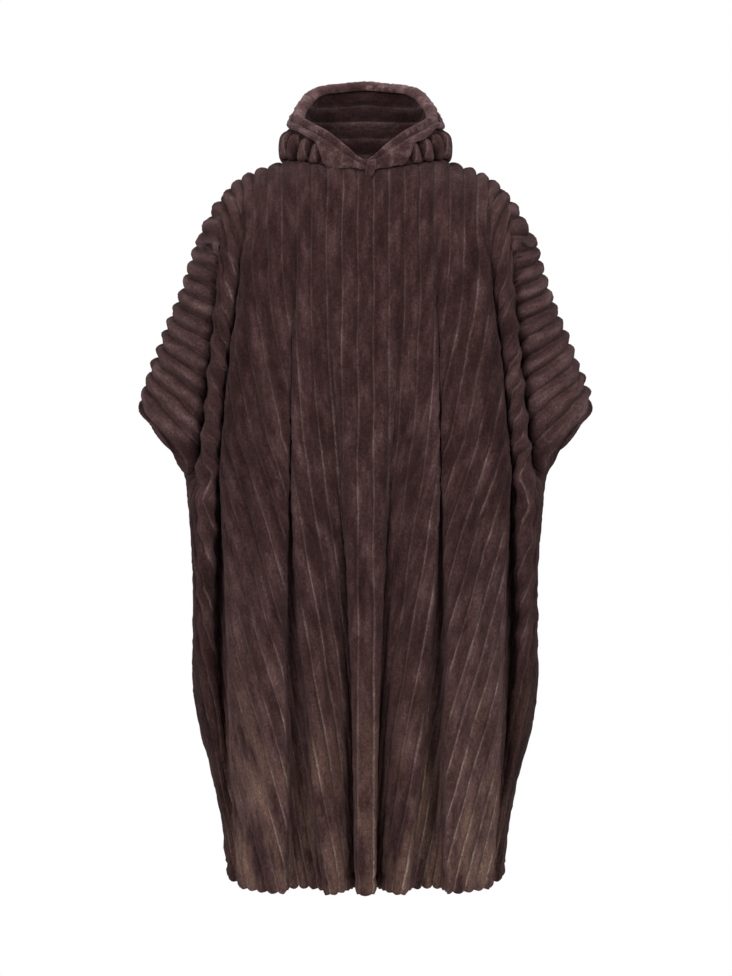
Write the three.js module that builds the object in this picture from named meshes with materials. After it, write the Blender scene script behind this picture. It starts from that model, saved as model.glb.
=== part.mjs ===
// Hooded bath poncho in wide-rib plush, hollow as if worn, with the hood down round the neck.
// Millimetres, +Z up. The origin is the middle of the neck base; the front faces -Y.
import * as THREE from "three";

// ---- driving dimensions ----
const clothThickness = 5; // plush with its pile
const seamGap = 0.3;
const neck = { halfWidth: 125, front: 95, back: 78, frontZ: -19, sideZ: 6, backZ: 14 };
const colour = "#423030";

// The shoulder line from the neck to the top of the arm, where the two panels are sewn together.
const shoulderLine = [
  { x: 125, z: 6 },
  { x: 153, z: -5 },
  { x: 198, z: -27 },
  { x: 220, z: -50 },
  { x: 236, z: -72 },
  { x: 257, z: -117 },
];

// One row for each level: x is the side outline (the line over the arm, then the cuff edge, then the side seam)
// and lift is how far the panel's edge stands away from the side line, which it does only round the cuff.
// sleeve is 1 where the edge belongs to the sleeve and 0 where it is the side seam.
const levels = [
  { z: -150, x: 271, lift: 0, sleeve: 1 },
  { z: -205, x: 289, lift: 0, sleeve: 1 },
  { z: -265, x: 312, lift: 0, sleeve: 1 },
  { z: -325, x: 335, lift: 0, sleeve: 1 },
  { z: -388, x: 362, lift: 0, sleeve: 1 },
  { z: -412, x: 344, lift: 42, sleeve: 1 },
  { z: -440, x: 322, lift: 52, sleeve: 1 },
  { z: -468, x: 298, lift: 42, sleeve: 1 },
  { z: -498, x: 281, lift: 0, sleeve: 0.5 },
  { z: -545, x: 279, lift: 0, sleeve: 0 },
  { z: -610, x: 272, lift: 0, sleeve: 0 },
  { z: -690, x: 270, lift: 0, sleeve: 0 },
  { z: -790, x: 276, lift: 0, sleeve: 0 },
  { z: -900, x: 271, lift: 0, sleeve: 0 },
  { z: -1020, x: 238, lift: 0, sleeve: 0 },
  { z: -1135, x: 223, lift: 0, sleeve: 0 },
];

// The folds of each half panel, from the centre outwards: a centre column, an inner fold, a broad fold, a rope-like
// fold below the shoulder, and then the sleeve or the side. A row for each level gives x for the edges of the folds,
// y for how far out they stand and the depth of the pleat after each fold.
const frontFolds = [
  // z, out: how far the middle stands out, then centre column, inner fold, broad fold (two edges), rope (two edges)
  { z: -150, out: 128, centre: 58, inner: 104, broadIn: 111, broadOut: 184, ropeIn: 192, ropeOut: 220,
    ropeY: 100, sleeveY: 84, pleat3: 0, pleat2: 2, pleat1: 5, pleat0: 6 },
  { z: -250, out: 143, centre: 52, inner: 108, broadIn: 115, broadOut: 199, ropeIn: 207, ropeOut: 231,
    ropeY: 104, sleeveY: 82, pleat3: 4, pleat2: 8, pleat1: 38, pleat0: 42 },
  { z: -330, out: 150, centre: 46, inner: 110, broadIn: 117, broadOut: 210, ropeIn: 218, ropeOut: 239,
    ropeY: 102, sleeveY: 80, pleat3: 9, pleat2: 16, pleat1: 58, pleat0: 60 },
  { z: -430, out: 151, centre: 39, inner: 111, broadIn: 118, broadOut: 219, ropeIn: 227, ropeOut: 250,
    ropeY: 99, sleeveY: 76, pleat3: 16, pleat2: 24, pleat1: 62, pleat0: 56 },
  { z: -500, out: 151, centre: 34, inner: 112, broadIn: 119, broadOut: 224, ropeIn: 233, ropeOut: 258,
    ropeY: 94, sleeveY: 50, pleat3: 21, pleat2: 30, pleat1: 64, pleat0: 26 },
  { z: -650, out: 151, centre: 26, inner: 107, broadIn: 124, broadOut: 216, ropeIn: 238, ropeOut: 260,
    ropeY: 84, sleeveY: 40, pleat3: 33, pleat2: 37, pleat1: 66, pleat0: 10 },
  { z: -800, out: 152, centre: 19, inner: 93, broadIn: 127, broadOut: 211, ropeIn: 236, ropeOut: 260,
    ropeY: 62, sleeveY: 40, pleat3: 45, pleat2: 44, pleat1: 66, pleat0: 4 },
  { z: -960, out: 152, centre: 16, inner: 81, broadIn: 118, broadOut: 207, ropeIn: 219, ropeOut: 238,
    ropeY: 50, sleeveY: 40, pleat3: 57, pleat2: 50, pleat1: 66, pleat0: 2 },
  { z: -1135, out: 150, centre: 13, inner: 62, broadIn: 124, broadOut: 196, ropeIn: 201, ropeOut: 209,
    ropeY: 45, sleeveY: 40, pleat3: 70, pleat2: 53, pleat1: 46, pleat0: 0 },
];

// The back hangs in fewer and softer folds: a row gives what the back changes of the front at the same level.
const backFolds = frontFolds.map((row) => ({
  ...row,
  out: row.out * 0.82,
  centre: row.centre * 1.35,
  inner: row.inner * 1.12,
  broadIn: row.broadIn * 1.08 + 6,
  ropeY: row.ropeY * 0.86,
  sleeveY: row.sleeveY * 0.92,
  pleat3: row.pleat3 * 0.7,
  pleat2: row.pleat2 * 0.9,
  pleat1: row.pleat1 * 0.8,
  pleat0: row.pleat0 * 0.8,
}));

const roundness = 2.6; // of the body's section, where 2 is an ellipse
const pleatGap = 9; // between the two walls of a closed pleat
const sharpest = 0.6; // at a sharper corner than this cosine the wall's inner face is cut short
const lip = 6; // how far a fold's rounded lip reaches in from its edge
const neckCorner = 12; // the column of a half panel that starts where the neck meets the shoulder seam
const shoulderRows = 3; // rows from the neck and shoulder seam down to the first level

const mix = (a, b, t) => a + (b - a) * t;
const smooth = (a, b, x) => {
  const t = Math.min(1, Math.max(0, (x - a) / (b - a)));
  return t * t * (3 - 2 * t);
};

// A row of a table at any place between its rows, by straight lines.
function rowAt(table, key, value) {
  const down = table[0][key] > table[table.length - 1][key];
  const past = (row) => (down ? row[key] <= value : row[key] >= value);
  const next = Math.max(1, table.findIndex(past));
  const b = table[past(table[table.length - 1]) ? next : table.length - 1];
  const a = table[table.indexOf(b) - 1];
  const t = Math.min(1, Math.max(0, (value - a[key]) / (b[key] - a[key])));
  return Object.fromEntries(Object.keys(a).map((k) => [k, mix(a[k], b[k], t)]));
}

// One level of one half panel, as [x, out] pairs from the centre to the edge.
function sectionOf(folds, level) {
  const f = rowAt(folds, "z", level.z);
  const width = Math.min(level.x, 276);
  const body = (x) => f.out * (1 - Math.min(0.94, x / width) ** roundness) ** (1 / roundness);
  const ropeness = smooth(-1000, -800, level.z); // the rope-like fold runs out into the side towards the hem
  const side = f.ropeY - mix(2, 12, ropeness);
  const under = (depth) => depth / (depth + 8); // how far a pleat's floor reaches under the fold, from 0 to 1
  const sleeveX = f.ropeOut + pleatGap + 1;
  const rise = (share) => mix(f.centre + pleatGap, f.inner, share);
  const points = [
    [0, f.out],
    [f.centre * 0.6, body(f.centre * 0.6)],
    [f.centre, body(f.centre) - 1],
    [f.centre + 2 - 5 * under(f.pleat3), body(f.centre) - Math.max(1, f.pleat3)],
    [f.centre + 4, body(f.centre) - Math.max(1, f.pleat3)],
    [rise(0.2), body(rise(0.2)) - 0.5 * f.pleat3],
    [rise(0.55), body(rise(0.55)) - 0.12 * f.pleat3],
    [f.inner - lip, body(f.inner) + 3],
    [f.inner, body(f.inner) - 1],
    [f.inner + 2 - 4 * under(f.pleat2), body(f.inner) - f.pleat2],
    [f.broadIn - 2 + 4 * under(f.pleat2), body(f.broadIn) - f.pleat2],
    [f.broadIn, body(f.broadIn) - 1],
    [f.broadIn + lip, body(f.broadIn) + 3],
    [mix(f.broadIn, f.broadOut, 0.5), body(mix(f.broadIn, f.broadOut, 0.5)) + 4],
    [f.broadOut - lip, body(f.broadOut) + 3],
    [f.broadOut, body(f.broadOut) - 3],
    [f.broadOut + 2 - 4 * under(f.pleat1), body(f.broadOut) - f.pleat1],
    [f.ropeIn - 1 + 2 * under(f.pleat1), side - 2 - 0.75 * f.pleat1 * ropeness],
    [f.ropeIn + 1, side],
    [mix(f.ropeIn, f.ropeOut, 0.5), f.ropeY],
    [f.ropeOut, side],
  ];
  const sleeve = [
    [f.ropeOut + 2 - 3 * under(f.pleat0), side - f.pleat0],
    [sleeveX - 2 + 3 * under(f.pleat0), f.sleeveY - 6 - f.pleat0 * 0.85],
    [sleeveX, f.sleeveY - 6],
    [mix(sleeveX, level.x, 0.45), mix(f.sleeveY, level.lift, 0.25) + 4],
    [mix(sleeveX, level.x, 0.86), mix(f.sleeveY * 0.55, level.lift, level.lift > 0 ? 0.7 : 0)],
    [level.x, level.lift + seamGap / 2],
  ];
  const angles = [0.12, 0.28, 0.45, 0.63, 0.82, 1];
  const down = angles.map((a) => (a * Math.PI) / 2);
  const flank = down.map((a) => [mix(f.ropeOut, level.x, Math.sin(a)), side * Math.cos(a) + seamGap / 2]);
  const outer = sleeve.map(([x, y], i) => [mix(flank[i][0], x, level.sleeve), mix(flank[i][1], y, level.sleeve)]);
  return points.concat(outer);
}

// The neck seam at an angle from the centre front, and where a column of the panel meets the neck or shoulder seam.
function neckAt(angle) {
  const front = Math.cos(angle);
  const reach = front > 0 ? neck.front : neck.back;
  const z = mix(neck.sideZ, front > 0 ? neck.frontZ : neck.backZ, front ** 2);
  return new THREE.Vector3(neck.halfWidth * Math.sin(angle), -reach * front, z);
}
function topOf(x, cornerX, lastX, facing) {
  if (x < cornerX) {
    const angle = Math.asin(x / cornerX);
    const rim = neckAt(facing < 0 ? angle : Math.PI - angle);
    return rim.setY(Math.min(-seamGap / 2, rim.y * -facing) * -facing);
  }
  const shoulderEnd = shoulderLine[shoulderLine.length - 1].x;
  const at = mix(neck.halfWidth, shoulderEnd, (x - cornerX) / (lastX - cornerX));
  return new THREE.Vector3(at, (facing * seamGap) / 2, rowAt(shoulderLine, "x", at).z);
}

// The rows of one half panel: from the seam the cloth rolls over forwards on a curve, and then falls level by level.
function rowsOf(folds, facing) {
  const first = sectionOf(folds, levels[0]).map(([x, out]) => new THREE.Vector3(x, facing * out, levels[0].z));
  const lastX = first[first.length - 1].x;
  const cornerX = first[neckCorner].x;
  const rolls = Array.from({ length: shoulderRows }, (_, i) =>
    first.map((end) => {
      const top = topOf(end.x, cornerX, lastX, facing);
      const forward = new THREE.Vector3(top.x, mix(top.y, end.y, 0.62), top.z - 0.08 * (top.z - end.z));
      const above = new THREE.Vector3(end.x, end.y, mix(end.z, top.z, 0.55));
      return new THREE.CubicBezierCurve3(top, forward, above, end).getPoint(i / shoulderRows);
    }),
  );
  const falls = levels.map((level) =>
    sectionOf(folds, level).map(([x, out]) => new THREE.Vector3(x, facing * out, level.z)),
  );
  return rolls.concat(falls);
}
const mirrored = (row) => row.slice(1).reverse().map((p) => new THREE.Vector3(-p.x, p.y, p.z));

// The points of a smooth spline surface at its knots, for a net of control points. A closed row runs round.
function knotPoints(net, closed) {
  const blend = (a, b, c) => b.clone().multiplyScalar(4).add(a).add(c).divideScalar(6);
  const along = (line, round) =>
    line.map((p, i) => {
      const last = line.length - 1;
      if (!round && (i === 0 || i === last)) return p.clone();
      return blend(line[(i + last) % line.length], p, line[(i + 1) % line.length]);
    });
  const rows = net.map((row, i) => (i === 0 ? row : along(row, closed))); // the seam edge keeps its corners
  const columns = rows[0].map((_, j) => along(rows.map((row) => row[j]), false));
  return rows.map((_, i) => columns.map((column) => column[i]));
}

// A wall of cloth: the outer surface, the same surface moved inwards along its normals, and the edges between.
// An edge in a seam keeps its y, so that the two panels meet face to face.
function clothWall(grid, { closed, inward, keepsY }) {
  const rowCount = grid.length;
  const count = grid[0].length;
  const at = (i, j) => grid[i][closed ? (j + count) % count : Math.min(count - 1, Math.max(0, j))];
  const positions = [];
  const offset = grid.map((row, i) =>
    row.map((p, j) => {
      const down = grid[Math.min(rowCount - 1, i + 1)][j].clone().sub(grid[Math.max(0, i - 1)][j]);
      const sides = [p.clone().sub(at(i, j - 1)), at(i, j + 1).clone().sub(p)];
      const normals = sides.filter((side) => side.lengthSq() > 0).map((side) => side.cross(down).normalize());
      const normal = normals.reduce((sum, n) => sum.add(n), new THREE.Vector3());
      if (keepsY(i, j)) normal.y = 0;
      normal.normalize();
      const reach = clothThickness / Math.max(sharpest, Math.abs(normal.dot(normals[0])));
      return p.clone().addScaledVector(normal, inward * reach);
    }),
  );
  for (const layer of [grid, offset]) for (const row of layer) for (const p of row) positions.push(p.x, p.y, p.z);
  const id = (layer, i, j) => layer * rowCount * count + i * count + (closed ? (j + count) % count : j);
  const index = [];
  const quad = (a, b, c, d) => (inward > 0 ? index.push(a, b, c, a, c, d) : index.push(a, c, b, a, d, c));
  const spans = closed ? count : count - 1;
  for (let i = 0; i < rowCount - 1; i++)
    for (let j = 0; j < spans; j++) {
      quad(id(0, i, j), id(0, i + 1, j), id(0, i + 1, j + 1), id(0, i, j + 1));
      quad(id(1, i, j), id(1, i, j + 1), id(1, i + 1, j + 1), id(1, i + 1, j));
    }
  for (let j = 0; j < spans; j++) {
    quad(id(0, 0, j), id(0, 0, j + 1), id(1, 0, j + 1), id(1, 0, j));
    quad(id(0, rowCount - 1, j), id(1, rowCount - 1, j), id(1, rowCount - 1, j + 1), id(0, rowCount - 1, j + 1));
  }
  if (!closed)
    for (let i = 0; i < rowCount - 1; i++) {
      quad(id(0, i, 0), id(1, i, 0), id(1, i + 1, 0), id(0, i + 1, 0));
      quad(id(0, i, count - 1), id(0, i + 1, count - 1), id(1, i + 1, count - 1), id(1, i, count - 1));
    }
  return new THREE.BufferGeometry()
    .setAttribute("position", new THREE.BufferAttribute(new Float32Array(positions), 3))
    .setIndex(index);
}

function panel(folds, facing) {
  const net = rowsOf(folds, facing).map((row) => mirrored(row).concat(row));
  const grid = knotPoints(net, false);
  const last = grid[0].length - 1;
  const onEdge = (i, j) => i === 0 || j === 0 || j === last;
  const keepsY = (i, j) => onEdge(i, j) && Math.abs(grid[i][j].y) < seamGap;
  return clothWall(grid, { closed: false, inward: -facing, keepsY });
}

// ---- hood ----
// A row for each angle from the centre front. The cloth leaves the neck seam, sags, turns at its lowest, swells and
// comes up to the face edge. Each place is how far out from the seam it stands and its height.
const hoodProfiles = [
  { angle: 0, rootOut: 0, rootZ: -16.5, sagOut: 1, sagZ: -16, turnOut: 1, turnZ: -15.5, bellyOut: 1, bellyZ: -15,
    topOut: 1, topZ: -14.5, rimOut: 0, rimZ: -14 },
  { angle: 30, rootOut: 1, rootZ: -9, sagOut: 2, sagZ: 0, turnOut: 2, turnZ: 8, bellyOut: 1, bellyZ: 17,
    topOut: -2, topZ: 27, rimOut: -5, rimZ: 36 },
  { angle: 60, rootOut: 3, rootZ: 3, sagOut: 8, sagZ: 11, turnOut: 10, turnZ: 21, bellyOut: 7, bellyZ: 34,
    topOut: -1, topZ: 48, rimOut: -11, rimZ: 62 },
  { angle: 90, rootOut: 2, rootZ: 13, sagOut: 6, sagZ: 20, turnOut: 8, turnZ: 30, bellyOut: 6, bellyZ: 43,
    topOut: -7, topZ: 60, rimOut: -19, rimZ: 77 },
  { angle: 120, rootOut: 8, rootZ: 20, sagOut: 16, sagZ: 13, turnOut: 23, turnZ: 13, bellyOut: 24, bellyZ: 35,
    topOut: 7, topZ: 70, rimOut: -10, rimZ: 104 },
  { angle: 150, rootOut: 14, rootZ: 26, sagOut: 40, sagZ: -30, turnOut: 74, turnZ: -72, bellyOut: 98, bellyZ: -25,
    topOut: 73, topZ: 72, rimOut: 20, rimZ: 136 },
  { angle: 180, rootOut: 20, rootZ: 28, sagOut: 54, sagZ: -66, turnOut: 96, turnZ: -132, bellyOut: 132, bellyZ: -45,
    topOut: 105, topZ: 82, rimOut: 32, rimZ: 148 },
];
const hoodPlaces = ["root", "sag", "turn", "belly", "top", "rim"];
const hoodColumns = 36;
const hoodLift = 1; // of the hood's lower edge over the neck seam

function hoodGrid() {
  const seam = [];
  const places = hoodPlaces.map(() => []);
  for (let j = 0; j < hoodColumns; j++) {
    const angle = (2 * Math.PI * j) / hoodColumns;
    const turned = Math.min(angle, 2 * Math.PI - angle);
    const row = rowAt(hoodProfiles, "angle", THREE.MathUtils.radToDeg(turned));
    const start = neckAt(angle);
    const outwards = new THREE.Vector3(Math.sin(angle), -Math.cos(angle), 0);
    start.x = neck.halfWidth * Math.sin(angle);
    seam.push(start.clone().setZ(start.z + hoodLift));
    hoodPlaces.forEach((place, i) => {
      places[i].push(start.clone().addScaledVector(outwards, row[place + "Out"]).setZ(row[place + "Z"]));
    });
  }
  return knotPoints([seam, ...places], true);
}

// ---- hood band ----
// The band folds over the face edge: a row gives how far below the edge a point of its section lies, as a share of
// the band's width or in mm, and how far it stands out of the hood's outer face.
const bandSection = [
  { share: 1, below: 0, out: 3.4 },
  { share: 1, below: 0, out: 5 },
  { share: 0.5, below: 0, out: 8 },
  { share: 0, below: 0, out: 8 },
  { share: 0, below: -6, out: 5 },
  { share: 0, below: -8, out: -2.5 },
  { share: 0, below: -5, out: -9.5 },
  { share: 0, below: 7, out: -12.2 },
  { share: 0, below: 7, out: -8.2 },
  { share: 0, below: -1, out: -8.2 },
  { share: 0, below: -1, out: 3.4 },
  { share: 0.5, below: 0, out: 3.4 },
];
const bandWidth = { front: 44, side: 19, widensFrom: 0.62, widensTo: 0.82, shareOfHood: 0.78 };

function bandRing(hood) {
  const lastRow = hood.length - 1;
  const count = hood[0].length;
  const normalAt = (i, j) => {
    const across = hood[i][(j + 1) % count].clone().sub(hood[i][(j + count - 1) % count]);
    const down = hood[i][j].clone().sub(hood[Math.max(0, i - 1)][j]);
    return across.cross(down).normalize();
  };
  const positions = [];
  for (let j = 0; j < count; j++) {
    const column = hood.map((row) => row[j]);
    const height = column.slice(1).reduce((sum, p, i) => sum + p.distanceTo(column[i]), 0);
    const frontness = Math.max(0, Math.cos((2 * Math.PI * j) / count));
    const widening = THREE.MathUtils.smoothstep(frontness, bandWidth.widensFrom, bandWidth.widensTo);
    const wanted = mix(bandWidth.side, bandWidth.front, widening);
    const width = Math.min(wanted, bandWidth.shareOfHood * height);
    for (const { share, below, out } of bandSection) {
      let left = Math.min(share * width + below, 0.8 * height);
      let i = lastRow;
      while (left > column[i].distanceTo(column[i - 1])) {
        left -= column[i].distanceTo(column[i - 1]);
        i -= 1;
      }
      const t = left / column[i].distanceTo(column[i - 1]);
      const normal = normalAt(i, j).lerp(normalAt(i - 1, j), Math.max(0, t)).normalize();
      const p = column[i].clone().lerp(column[i - 1], t).addScaledVector(normal, out);
      positions.push(p.x, p.y, p.z);
    }
  }
  const sides = bandSection.length;
  const index = [];
  for (let j = 0; j < count; j++)
    for (let k = 0; k < sides; k++) {
      const a = j * sides + k;
      const b = j * sides + ((k + 1) % sides);
      const c = ((j + 1) % count) * sides + k;
      const d = ((j + 1) % count) * sides + ((k + 1) % sides);
      index.push(a, c, b, b, c, d);
    }
  return new THREE.BufferGeometry()
    .setAttribute("position", new THREE.BufferAttribute(new Float32Array(positions), 3))
    .setIndex(index);
}

const part = new THREE.Group();
function addCloth(name, geometry) {
  const material = new THREE.MeshStandardMaterial({ color: colour, roughness: 0.95, metalness: 0 });
  const mesh = new THREE.Mesh(geometry, material);
  mesh.name = name;
  part.add(mesh);
}
const hood = hoodGrid();
addCloth("front_panel", panel(frontFolds, -1));
addCloth("back_panel", panel(backFolds, 1));
addCloth("hood", clothWall(hood, { closed: true, inward: -1, keepsY: () => false }));
addCloth("hood_band", bandRing(hood));

export default part;
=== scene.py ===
import math
import bpy
import bmesh
import numpy as np
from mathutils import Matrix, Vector


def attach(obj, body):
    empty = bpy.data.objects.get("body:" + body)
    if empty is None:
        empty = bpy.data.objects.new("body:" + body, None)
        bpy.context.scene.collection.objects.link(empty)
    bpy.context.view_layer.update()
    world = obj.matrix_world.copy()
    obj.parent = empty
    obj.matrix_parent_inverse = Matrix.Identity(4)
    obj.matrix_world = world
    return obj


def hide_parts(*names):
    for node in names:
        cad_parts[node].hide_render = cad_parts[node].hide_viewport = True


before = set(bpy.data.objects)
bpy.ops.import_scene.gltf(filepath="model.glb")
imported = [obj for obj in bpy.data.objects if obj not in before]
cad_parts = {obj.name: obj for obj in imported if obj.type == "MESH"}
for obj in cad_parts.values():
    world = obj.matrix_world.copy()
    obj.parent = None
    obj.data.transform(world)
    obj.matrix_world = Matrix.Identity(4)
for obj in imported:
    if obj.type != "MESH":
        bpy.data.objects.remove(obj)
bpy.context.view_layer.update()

mm = 0.001

# The cut of the panels and the way they hang, in mm.
cloth = {
    "ribPitch": 24.0,
    "halfWidth": 593.0,  # from the centre of a panel to its cuff edge, along the cloth
    "thickness": 5.0,
    "seamGap": 0.3,
    "bodyWidth": 276.0,  # half of the body's section at its widest
    "roundness": 2.6,  # of that section, where 2 is an ellipse
    "roundTo": 0.94,  # share of the width past which the section falls no further
    "pleatGap": 9.0,  # between the two walls of a closed pleat
    "lip": 6.0,  # how far a fold's rounded lip reaches in from its edge
    "neckCorner": 12,  # the column of a half panel that starts where the neck meets the shoulder seam
    "shoulderRows": 3,  # rows from the neck and shoulder seam down to the first level
}
neck = {"halfWidth": 125.0, "front": 95.0, "back": 78.0, "frontZ": -19.0, "sideZ": 6.0, "backZ": 14.0}
columnOf = {"broadFold": 15, "sleevePleat": 21.5, "edge": 26}  # columns of a half panel

shoulderX = np.array([125.0, 153, 198, 220, 236, 257])
shoulderZ = np.array([6.0, -5, -27, -50, -72, -117])
# the line over the arm, from the end of the shoulder to the cuff, and how far along the cloth it starts
armLine = {"startX": 236.0, "startZ": -72.0, "endX": 362.0, "endZ": -388.0, "along": 262.0}
# shares of the way from the seam to the first level, for the roll of the cloth over the shoulder
shoulderRoll = {"forward": 0.62, "drop": 0.08, "above": 0.55}

# z, x of the side outline, lift of the edge round the cuff, sleeve (1) or side seam (0)
levels = np.array([
    (-150, 271, 0, 1), (-205, 289, 0, 1), (-265, 312, 0, 1), (-325, 335, 0, 1),
    (-388, 362, 0, 1), (-412, 344, 42, 1), (-440, 322, 52, 1), (-468, 298, 42, 1),
    (-498, 281, 0, 0.5), (-545, 279, 0, 0), (-610, 272, 0, 0), (-690, 270, 0, 0),
    (-790, 276, 0, 0), (-900, 271, 0, 0), (-1020, 238, 0, 0), (-1135, 223, 0, 0),
], dtype=float)
hemZ = levels[-1, 0]

# Folds of each half, from the centre outwards: x of their edges, how far they stand out, and the depth of the
# pleats between them.
foldNames = ("z", "out", "centre", "inner", "broadIn", "broadOut", "ropeIn", "ropeOut",
             "ropeY", "sleeveY", "pleat3", "pleat2", "pleat1", "pleat0")
frontFolds = np.array([
    (-150, 128, 58, 104, 111, 184, 192, 220, 100, 84, 0, 2, 5, 6),
    (-250, 143, 52, 108, 115, 199, 207, 231, 104, 82, 4, 8, 38, 42),
    (-330, 150, 46, 110, 117, 210, 218, 239, 102, 80, 9, 16, 58, 60),
    (-430, 151, 39, 111, 118, 219, 227, 250, 99, 76, 16, 24, 62, 56),
    (-500, 151, 34, 112, 119, 224, 233, 258, 94, 50, 21, 30, 64, 26),
    (-650, 151, 26, 107, 124, 216, 238, 260, 84, 40, 33, 37, 66, 10),
    (-800, 152, 19, 93, 127, 211, 236, 260, 62, 40, 45, 44, 66, 4),
    (-960, 152, 16, 81, 118, 207, 219, 238, 50, 40, 57, 50, 66, 2),
    (-1135, 150, 13, 62, 124, 196, 201, 209, 45, 40, 70, 53, 46, 0),
], dtype=float)
# The back hangs in fewer and softer folds: what it has of the front's values.
backShare = {"out": 0.82, "centre": 1.35, "inner": 1.12, "broadIn": 1.08, "ropeY": 0.86, "sleeveY": 0.92,
             "pleat3": 0.7, "pleat2": 0.9, "pleat1": 0.8, "pleat0": 0.8}
backFolds = frontFolds * np.array([backShare.get(name, 1.0) for name in foldNames])
backFolds[:, foldNames.index("broadIn")] += 6

# Where a rib that starts on the arm line at s reaches the pleat in front of the sleeve, for each height.
sleeveRibs = {"z": np.array([-498.0, -468, -430, -380, -330, -250, -205, -150, -100, -72, -48]),
              "s": np.array([578.0, 560, 534, 502, 467, 408, 372, 322, 280, 256, 234])}

# Below a height the folds take in more cloth: how much by the hem, at these columns. The sides flare too.
takenIn = {"from": -440.0,
           "column": np.array([0.0, 3, 5, 8.6, 10.8, 15.4, 17.6, 21.5, 26]),
           "cloth": np.array([0.0, 0, 42, 52, 104, 132, 144, 150, 156])}
flare = {"cuff": 6.0, "hem": 156.0, "top": -388.0, "from": -520.0, "columns": 8}


def mix(a, b, t):
    return a + (b - a) * t


def smooth(a, b, x):  # 0 before a, 1 past b, with a soft start and end
    t = np.clip((x - a) / (b - a), 0, 1)
    return t * t * (3 - 2 * t)


def bell(x, middle, half):
    return np.exp(-(((x - middle) / half) ** 2))


def foldsAt(table, z):
    return {name: float(np.interp(-z, -table[:, 0], table[:, k])) for k, name in enumerate(foldNames)}


# x and distance out for one level of a half panel, from the centre to the edge. The body's section is a
# rounded ellipse, and the folds and pleats are set into it.
def section(table, level):
    z, edgeX, lift, sleeve = level
    f = foldsAt(table, z)
    width = min(edgeX, cloth["bodyWidth"])
    r = cloth["roundness"]

    def body(x):
        return f["out"] * (1 - min(cloth["roundTo"], x / width) ** r) ** (1 / r)

    def under(depth):  # how far a pleat's floor reaches under its fold, from 0 to 1
        return depth / (depth + 8)

    def rise(share):
        return mix(f["centre"] + cloth["pleatGap"], f["inner"], share)

    ropeness = float(smooth(-1000, -800, z))  # the twisted fold runs out into the side towards the hem
    side = f["ropeY"] - mix(2, 12, ropeness)
    sleeveX = f["ropeOut"] + cloth["pleatGap"] + 1
    c, i, b, o = f["centre"], f["inner"], f["broadIn"], f["broadOut"]
    lip = cloth["lip"]
    p3, p2, p1, p0 = f["pleat3"], f["pleat2"], f["pleat1"], f["pleat0"]
    points = [
        (0, f["out"]), (c * 0.6, body(c * 0.6)), (c, body(c) - 1),
        (c + 2 - 5 * under(p3), body(c) - max(1, p3)), (c + 4, body(c) - max(1, p3)),
        (rise(0.2), body(rise(0.2)) - 0.5 * p3), (rise(0.55), body(rise(0.55)) - 0.12 * p3),
        (i - lip, body(i) + 3), (i, body(i) - 1),
        (i + 2 - 4 * under(p2), body(i) - p2), (b - 2 + 4 * under(p2), body(b) - p2),
        (b, body(b) - 1), (b + lip, body(b) + 3),
        (mix(b, o, 0.5), body(mix(b, o, 0.5)) + 4), (o - lip, body(o) + 3), (o, body(o) - 3),
        (o + 2 - 4 * under(p1), body(o) - p1),
        (f["ropeIn"] - 1 + 2 * under(p1), side - 2 - 0.75 * p1 * ropeness),
        (f["ropeIn"] + 1, side), (mix(f["ropeIn"], f["ropeOut"], 0.5), f["ropeY"]), (f["ropeOut"], side),
    ]
    arm = [
        (f["ropeOut"] + 2 - 3 * under(p0), side - p0),
        (sleeveX - 2 + 3 * under(p0), f["sleeveY"] - 6 - p0 * 0.85),
        (sleeveX, f["sleeveY"] - 6),
        (mix(sleeveX, edgeX, 0.45), mix(f["sleeveY"], lift, 0.25) + 4),
        (mix(sleeveX, edgeX, 0.86), mix(f["sleeveY"] * 0.55, lift, 0.7 if lift > 0 else 0)),
        (edgeX, lift + cloth["seamGap"] / 2),
    ]
    turns = [share * math.pi / 2 for share in (0.12, 0.28, 0.45, 0.63, 0.82, 1)]
    flankX = [mix(f["ropeOut"], edgeX, math.sin(a)) for a in turns]
    flankY = [side * math.cos(a) + cloth["seamGap"] / 2 for a in turns]
    flank = zip(flankX, flankY)
    outer = [(mix(fx, ax, sleeve), mix(fy, ay, sleeve)) for (ax, ay), (fx, fy) in zip(arm, flank)]
    return np.array(points + outer)


# The neck seam: an ellipse from above, with its own reach and height in front and behind.
def neckAt(angle):
    front = np.cos(angle)
    reach = np.where(front > 0, neck["front"], neck["back"])
    z = mix(neck["sideZ"], np.where(front > 0, neck["frontZ"], neck["backZ"]), front ** 2)
    return np.stack([neck["halfWidth"] * np.sin(angle), -reach * front, z], axis=-1)


def shoulderAt(x):
    return np.interp(x, shoulderX, shoulderZ)


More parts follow.
